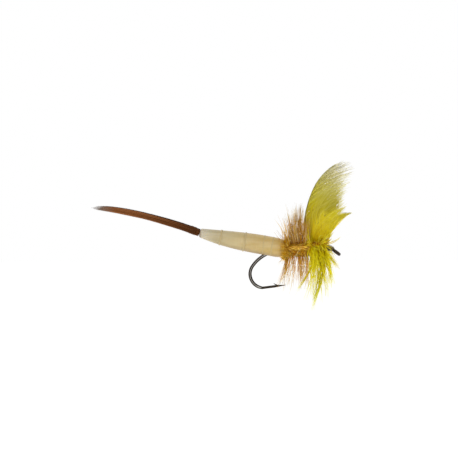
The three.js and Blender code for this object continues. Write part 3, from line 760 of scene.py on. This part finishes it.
def gather(lines, locks, pull):
    """Draws the outer part of each barb towards the nearest of a few leading ones, so that locks form."""
    leaders = lines[rng.choice(len(lines), locks, replace=False)]
    apart = np.linalg.norm(lines[:, None, -1] - leaders[:, -1], axis=-1)
    nearest = leaders[np.argmin(apart, axis=1)]
    return lines + (nearest - lines) * (pull * BARB_STEPS**1.5)[:, None]


def lock(count, root_x, tip, spread, bow=0.0, root_spread=0.35):
    """Barbs that run together from the thorax to one tip at x, y, z. bow bends them forward on the way."""
    t = BARB_STEPS[:, None]
    lines = []
    for _ in range(count):
        end = np.array(tip) + rng.normal(0, spread, 3)
        angle = math.atan2(-end[1], end[2] - 0.6) + rng.normal(0, 0.35)
        root = on_shank(root_x + rng.normal(0, root_spread), STEM_RING_R - 0.2, angle)
        reach = rng.uniform(0.72, 1.0)
        lines.append(root + (end - root) * reach * t + bow * np.sin(math.pi * t) * X)
    return np.array(lines)


def hackle(name, stem, lines, look, barb_r):
    """A wound feather: its stem, and barbs that taper and differ in thickness."""
    radii = barb_r * rng.uniform(0.65, 1.3, (len(lines), 1)) * (1 - 0.72 * BARB_STEPS**2)
    barbs = rods(f"{name}_barbs", lines, radii, sides=4, side=SHANK_FORWARD)
    quill = rods(f"{name}_stem", stem, STEM_R, sides=6, side=SHANK_FORWARD)
    finish_piece(quill, look, "hook_body", name)
    finish_piece(barbs, look, "hook_body", name, name)


def from_top(angle):
    """An angle round the shank as the angle from its top, the same on both sides."""
    return min(angle, 2 * math.pi - angle)


def ginger_barb(angle, share):
    """Most barbs stand up or hang down. They leave room for the wings' roots and show the gold strands."""
    top, under, right = max(0, math.cos(angle)), max(0, -math.cos(angle)), math.sin(angle)
    if ginger_x(share * GINGER_TURNS) > -5.2 and from_top(angle) < math.radians(20):
        return None
    if under > 0.3 and rng.random() < 0.45:
        return None
    if right > 0.65 and rng.random() < 0.85:
        return None
    rear = 1 - share
    short = (1 - 0.55 * top * smoothstep(rear, 0.7, 1)) * (1 - 0.1 * under)
    length = rng.uniform(4.4 + 1.6 * under, 8.6) * short
    lean = -rear * (1.3 - 0.9 * top) + rng.normal(0, 0.4)
    return length, lean, -0.3 * rear + rng.normal(0, 0.5), 0


def ginger_hackle():
    loose = gather(ring_barbs(GINGER_TURNS, ginger_x, GINGER_BARBS, ginger_barb), 220, 0.3)
    locks = [
        lock(26, -5.9, (-6.7, -1.4, -6.0), 0.25),
        lock(12, -5.3, (-5.3, -1.0, -6.6), 0.25),
        lock(8, -7.4, (-8.0, -1.6, -5.2), 0.3),
        lock(12, -8.2, (-10.6, -1.8, -5.8), 0.3, bow=0.2),
        lock(8, -8.4, (-11.4, -1.0, -7.4), 0.3, bow=0.3),
        lock(6, -8.2, (-9.6, -1.4, -5.4), 0.2),
        lock(40, -6.2, (-6.8, -1.2, 9.3), 0.4),
        lock(34, -6.8, (-7.7, -0.8, 8.8), 0.4),
        lock(30, -7.5, (-8.5, -0.8, 7.4), 0.45),
        lock(24, -5.4, (-5.9, -0.8, 7.0), 0.4),
        lock(26, -4.9, (-5.4, -1.7, 6.2), 0.5),
        lock(34, -5.2, (-6.3, -1.5, 5.6), 0.55),
        lock(12, -8.3, (-9.9, -1.2, 4.4), 0.45),
    ]
    shades = (0.0, (82, 44, 0)), (0.3, (168, 108, 4)), (0.7, (216, 158, 44)), (1.0, (252, 226, 166))
    look = hackle_look("ginger_hackle", (170, 104, 0), shades, (146, 124, 92))
    stem = wound_stem(GINGER_TURNS, ginger_x)
    hackle("ginger_hackle", stem, np.vstack([loose, *locks]), look, GINGER_BARB_R)


def yellow_barb(angle, share):
    """The stiff barbs hang or stand out sideways, longest under the rear, and leave the top clear."""
    if from_top(angle) < math.radians(46) or (share > 0.55 and rng.random() < 0.4):
        return None
    under = max(0, -math.cos(angle)) ** 2
    beside = math.sin(angle) ** 2
    length = 4.6 + under * (1 - share) * (1 + 2.4 * rng.random()) + 2.6 * rng.random()
    lean = 2.6 * (share - 0.35) + beside * smoothstep(share, 0.5, 1) + rng.normal(0, 0.4)
    return length, lean, rng.normal(0, 0.4), rng.uniform(0, 4.5) * beside


def yellow_web(angle, share):
    """The soft lower barbs of the feather, short and swept down over the thorax, with few above it on the
    right."""
    upper = from_top(angle) < math.radians(60)
    if upper and math.sin(angle) > 0 and rng.random() < 0.85:
        return None
    length = rng.uniform(0.8, 2.2) if upper else rng.uniform(1.4, 3.6) * (1 - 0.3 * share)
    droop = 0 if upper else rng.uniform(1.0, 3.5) * (1 - 0.3 * share) * math.sin(angle) ** 2
    return length, 1.3 * share + rng.normal(0, 0.25), rng.normal(0, 0.3), droop


def yellow_hackle():
    loose = gather(ring_barbs(YELLOW_TURNS, yellow_x, YELLOW_BARBS, yellow_barb), 50, 0.65)
    web = ring_barbs(YELLOW_TURNS, yellow_x, YELLOW_WEB_BARBS, yellow_web)
    locks = [
        lock(36, -2.2, (-4.65, -1.6, -11.0), 0.2, bow=0.7, root_spread=0.5),
        lock(30, -2.0, (-3.4, -1.8, -6.6), 0.5, bow=0.5, root_spread=0.5),
        lock(16, -3.2, (-7.8, -1.8, -7.9), 0.2, bow=0.6),
        lock(9, -3.1, (-6.1, -1.6, -9.5), 0.25, bow=0.4),
        lock(20, -1.5, (-1.0, -1.4, -7.0), 0.2, bow=0.6),
        lock(12, -1.4, (0.1, -1.6, -3.2), 0.22, bow=0.3),
        lock(5, -1.3, (0.9, -1.4, -3.5), 0.25, bow=0.2),
        lock(4, -0.9, (1.1, -1.6, 2.8), 0.12, bow=0.3, root_spread=0.1),
        lock(14, -1.7, (-2.0, -1.6, -9.2), 0.7),
    ]
    shades = (0.0, (186, 162, 0)), (0.25, (214, 194, 0)), (0.75, (230, 214, 0)), (1.0, (242, 236, 70))
    look = hackle_look("yellow_hackle", (214, 168, 0), shades, (214, 212, 60))
    stem = wound_stem(YELLOW_TURNS, yellow_x)
    hackle("yellow_hackle", stem, np.vstack([loose, web, *locks]), look, YELLOW_BARB_R)


# ---- Wings ---------------------------------------------------------------------------------------


def along_line(line, share):
    """The x, z point and the direction of an evenly spaced line at a share of its length."""
    at = min(max(share, 0), 1) * (len(line) - 1)
    k = min(int(at), len(line) - 2)
    return line[k] + (line[k + 1] - line[k]) * (at - k), unit(line[k + 1] - line[k])


def wing_root(x):
    """Where a barb leaves the wing's base. Away from the pivot it is higher, to clear the hackle's stem as
    the wing bends."""
    return np.array([x, rng.uniform(1.7, 2.1) + 0.42 * max(0, x + 4) + 0.15 * max(0, -4 - x)])


def vane(name, barbs, depth_at, width, cup):
    """A vane from barbs given as (root, bend, tip, reach). Each leaves its root towards the bend, curves to
    its tip and stops at the share reach of the way. The three are x, z points. depth_at(z) says how far to
    the side they lie, and cup bulges the middle of the vane outwards."""
    t = np.linspace(0, 1, 16)
    lines, half_up = [], []
    for root, bend, tip, reach in barbs:
        u = (t * reach)[:, None]
        flat = (1 - u) ** 2 * root + 2 * u * (1 - u) * bend + u**2 * tip
        bulge = cup * np.sin(math.pi * u[:, 0]) * rng.uniform(0.7, 1)
        depth = depth_at(flat[:, 1]) + bulge + rng.normal(0, 0.05)
        lines.append(np.stack([flat[:, 0], depth, flat[:, 1]], axis=1))
        half_up.append(width * rng.uniform(0.6, 1.2) * (1 - 0.85 * t**1.8) * np.clip(0.3 + 3 * t, 0, 1))
    return rods(f"{name}_barbs", lines, half_up, 0.015, sides=6)


def quill(name, line, depth, root_r, tip_r):
    """A wing's stem along an x, z line, at the given depth."""
    points = np.stack([line[:, 0], depth, line[:, 1]], axis=1)
    return rods(f"{name}_quill", points, np.linspace(root_r, tip_r, len(line)), sides=8)


def left_depth(z):
    """How far to the left the left wing lies at a height: it leans away a little."""
    return 0.15 + 0.15 * np.maximum(z - 2.15, -1)


def right_depth(z):
    """The right wing leans well out to the right."""
    return -0.15 - 0.6 * np.maximum(z - 2.15, -0.2)


def edge_barbs(count, front, fringe):
    """Barbs from the left wing's front edge that part into locks at its fringe."""
    locks = 23
    barbs = []
    for i in range(count):
        to = (int(i / count * locks) + 0.5 + rng.normal(0, 0.22)) / locks
        to = min(max(to, 0.0), 1.0)
        root, along = along_line(front, 0.62 * (1 - to) ** 0.9 + rng.uniform(0, 0.22) * (1 - to))
        tip = along_line(fringe, to)[0] + rng.normal(0, 0.1, 2)
        barbs.append((root, root + 0.22 * np.linalg.norm(tip - root) * along, tip, rng.uniform(0.86, 1.03)))
    return barbs


def base_barbs(count, fringe):
    """Barbs from the left wing's base that fill its vane."""
    barbs = []
    for _ in range(count):
        to = 0.86 * rng.random() ** 0.8
        root = wing_root(-4.95 + 3.4 * to + rng.normal(0, 0.15))
        tip = along_line(fringe, to)[0]
        bend = root + [-2.3 * (1 - to) ** 0.6, rng.uniform(0.45, 0.65) * (tip[1] - root[1])]
        barbs.append((root, bend, tip, rng.uniform(0.3, 0.93)))
    return barbs


def low_barbs(count, fringe):
    """Barbs from the left wing's base to the lowest part of its fringe."""
    barbs = []
    for _ in range(count):
        to = rng.uniform(0.72, 1)
        root = wing_root(rng.uniform(-3.2, -1.4))
        tip = along_line(fringe, to)[0] + rng.normal(0, 0.12, 2)
        barbs.append((root, root + [-0.4, 0.6 * (tip[1] - root[1])], tip, rng.uniform(0.85, 1.0)))
    return barbs


def short_edge_barbs(count, front, fringe):
    """Short barbs that thicken the left wing's front edge."""
    barbs = []
    for _ in range(count):
        to = rng.random()
        root, along = along_line(front, 0.9 * (1 - to))
        tip = along_line(fringe, to)[0]
        barbs.append((root, root + 0.25 * np.linalg.norm(tip - root) * along, tip, rng.uniform(0.3, 0.6)))
    return barbs


def tall_wing():
    """The left wing stands up and curves forward."""
    lower_front = [[-4.8, 1.4], [-5.6, 2.7], [-6.2, 4.5], [-5.95, 7], [-5.4, 9.2], [-4.7, 11.2]]
    upper_front = [[-3.85, 13], [-2.6, 14.7], [-1.2, 16], [0.2, 16.9], [1.5, 17.4]]
    front = smooth_line(lower_front + upper_front, 120)
    upper_fringe = [[1.4, 17.5], [2.2, 17.2], [3.0, 16.4], [3.1, 15]]
    lower_fringe = [[2.6, 13.5], [2.1, 12], [1.6, 10.8], [1.3, 9.8], [1.6, 8.9]]
    fringe = smooth_line(upper_fringe + lower_fringe, 120)
    barbs = edge_barbs(230, front, fringe) + base_barbs(600, fringe) + low_barbs(70, fringe)
    barbs += short_edge_barbs(90, front, fringe)
    barbs_piece = vane("left_wing", barbs, left_depth, 0.085, 0.4)
    stem = smooth_line([[-4.6, 1.35], [-5.15, 2.7], [-5.7, 4.8], [-5.9, 7], *front[52:116:8]], 110)
    depth = left_depth(stem[:, 1]) + 0.5 * (1 - smoothstep(stem[:, 1], 4.5, 6.5))
    return quill("left_wing", stem, depth, 0.13, 0.03), barbs_piece


def short_wing():
    """The right wing leans out and forward. Some barbs gather to a point or to the tuft above it, and the
    rest fan out."""
    barbs = []
    for _ in range(420):
        across = rng.random()
        root = wing_root(-4.7 + 3.5 * across)
        group = rng.random()
        if group < 0.4:
            tip = np.array([2.8, 7.5]) + rng.normal(0, 0.08, 2)
            bend = np.array([root[0] + 0.5 * across, rng.uniform(5.2, 7.7) - 0.4 * across])
        elif group < 0.5:
            tip = np.array([1.85, 8.6]) + rng.normal(0, 0.15, 2)
            bend = np.array([root[0], rng.uniform(5, 7.6)])
        else:
            tip = np.array([rng.uniform(-4.6, 1.4), rng.uniform(5.2, 8.8)])
            tip[0] = max(tip[0], root[0] - 0.6)
            bend = np.array([root[0] - 0.2, 0.6 * tip[1]])
        barbs.append((root, bend, tip, rng.uniform(0.75, 1.0)))
    barbs_piece = vane("right_wing", barbs, right_depth, 0.08, -0.4)
    front = [[-4.0, 1.5], [-4.2, 3.4], [-3.5, 5.5], [-2.3, 6.9], [-0.8, 7.5], [1.2, 7.55], [2.75, 7.5]]
    stem = smooth_line(front, 80)
    return quill("right_wing", stem, right_depth(stem[:, 1]) + 0.2, 0.08, 0.02), barbs_piece


def wings():
    vane_look = wing_look()
    stem_look = thread_look("feather_quill", (104, 100, 36), (140, 136, 62), roughness=0.4)
    for side, (stem, barbs) in (("left", tall_wing()), ("right", short_wing())):
        finish_piece(stem, stem_look, f"{side}_wing", "feather_stem", f"{side}_wing_stem")
        finish_piece(barbs, vane_look, f"{side}_wing", "yellow_feather", f"{side}_wing_vane")


# ---- Pieces inside, kept from the CAD part -------------------------------------------------------


def inner_pieces():
    nylon = Look("clear_nylon", roughness=0.2)
    nylon.colour(nylon.ramp(nylon.noise(1), (0.3, (222, 214, 196)), (0.7, (236, 230, 212))))
    floss = thread_look("underbody_floss", (206, 190, 150), (226, 212, 176), roughness=0.7)
    lashing = thread_look("lashing_thread", (196, 172, 124), (216, 196, 152))
    looks = {
        "core_front": nylon.material,
        "core_rear": nylon.material,
        "underbody_front": floss,
        "underbody_rear": floss,
        "lashing_wraps": lashing,
    }
    for node, look in looks.items():
        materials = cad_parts[node].data.materials
        materials.clear()
        materials.append(look)


# ---- Studio --------------------------------------------------------------------------------------

SURROUND_LIGHT = 0.52
FLOOR_GLOW = 0.58
FLOOR_REACH = 3000
FLOOR_HEIGHT = -40
LIGHT_AIM = Vector((-20, 0, 3))
VIEW_CENTRE_X = -20.4
VIEW_CENTRE_Z = 4.41
VIEW_WIDTH = 87.0
CAMERA_DISTANCE = 500
SENSOR_WIDTH = 36


def white_world():
    """A white surround that is seen as pure white, and that lights the fly a little less."""
    world = bpy.data.worlds.new("studio")
    world.use_nodes = True
    tree = world.node_tree
    light = tree.nodes["Background"]
    light.inputs["Color"].default_value = (1, 1, 1, 1)
    light.inputs["Strength"].default_value = SURROUND_LIGHT
    seen = tree.nodes.new("ShaderNodeBackground")
    seen.inputs["Color"].default_value = (1, 1, 1, 1)
    path = tree.nodes.new("ShaderNodeLightPath")
    choice = tree.nodes.new("ShaderNodeMixShader")
    tree.links.new(path.outputs["Is Camera Ray"], choice.inputs["Fac"])
    tree.links.new(light.outputs[0], choice.inputs[1])
    tree.links.new(seen.outputs[0], choice.inputs[2])
    tree.links.new(choice.outputs[0], tree.nodes["World Output"].inputs["Surface"])
    return world


def paper_floor():
    """A wide sheet of pale paper under the fly, bright enough to leave no horizon."""
    signs = (-1, -1), (1, -1), (1, 1), (-1, 1)
    corners = [[FLOOR_REACH * x, FLOOR_REACH * y, FLOOR_HEIGHT] for x, y in signs]
    floor = new_mesh("floor", corners, [[0, 1, 2, 3]])
    paper = Look("pale_paper", roughness=0.9)
    paper.shader.inputs["Emission Color"].default_value = (1, 1, 1, 1)
    paper.shader.inputs["Emission Strength"].default_value = FLOOR_GLOW
    tone = paper.ramp(paper.noise(0.02), (0.0, (240, 240, 238)), (1.0, (246, 246, 244)))
    floor.data.materials.append(paper.colour(tone))


def area_light(name, place, size, power):
    """A square soft light that faces the fly."""
    data = bpy.data.lights.new(name, "AREA")
    data.size = size * MM
    data.energy = power
    lamp = bpy.data.objects.new(name, data)
    bpy.context.scene.collection.objects.link(lamp)
    lamp.location = Vector(place) * MM
    lamp.rotation_euler = (lamp.location - LIGHT_AIM * MM).to_track_quat("Z", "Y").to_euler()


def studio():
    scene = bpy.context.scene
    scene.view_settings.view_transform = "Standard"
    scene.world = white_world()
    paper_floor()
    area_light("key", (-90, -330, 260), size=180, power=0.8)
    area_light("rim", (60, 250, 320), size=160, power=0.35)


def camera():
    """Looks along +Y from the fly's right side, from far away, so that the view is almost flat."""
    data = bpy.data.cameras.new("camera")
    data.sensor_width = SENSOR_WIDTH
    data.lens = SENSOR_WIDTH * CAMERA_DISTANCE / VIEW_WIDTH
    data.clip_start = 0.01
    data.clip_end = 20
    obj = bpy.data.objects.new("camera", data)
    bpy.context.scene.collection.objects.link(obj)
    obj.location = np.array([VIEW_CENTRE_X, -CAMERA_DISTANCE, VIEW_CENTRE_Z]) * MM
    obj.rotation_euler = (math.pi / 2, 0, 0)
    bpy.context.scene.camera = obj


hook()
threads()
body()
tail()
thorax()
ginger_hackle()
yellow_hackle()
wings()
inner_pieces()
studio()
camera()
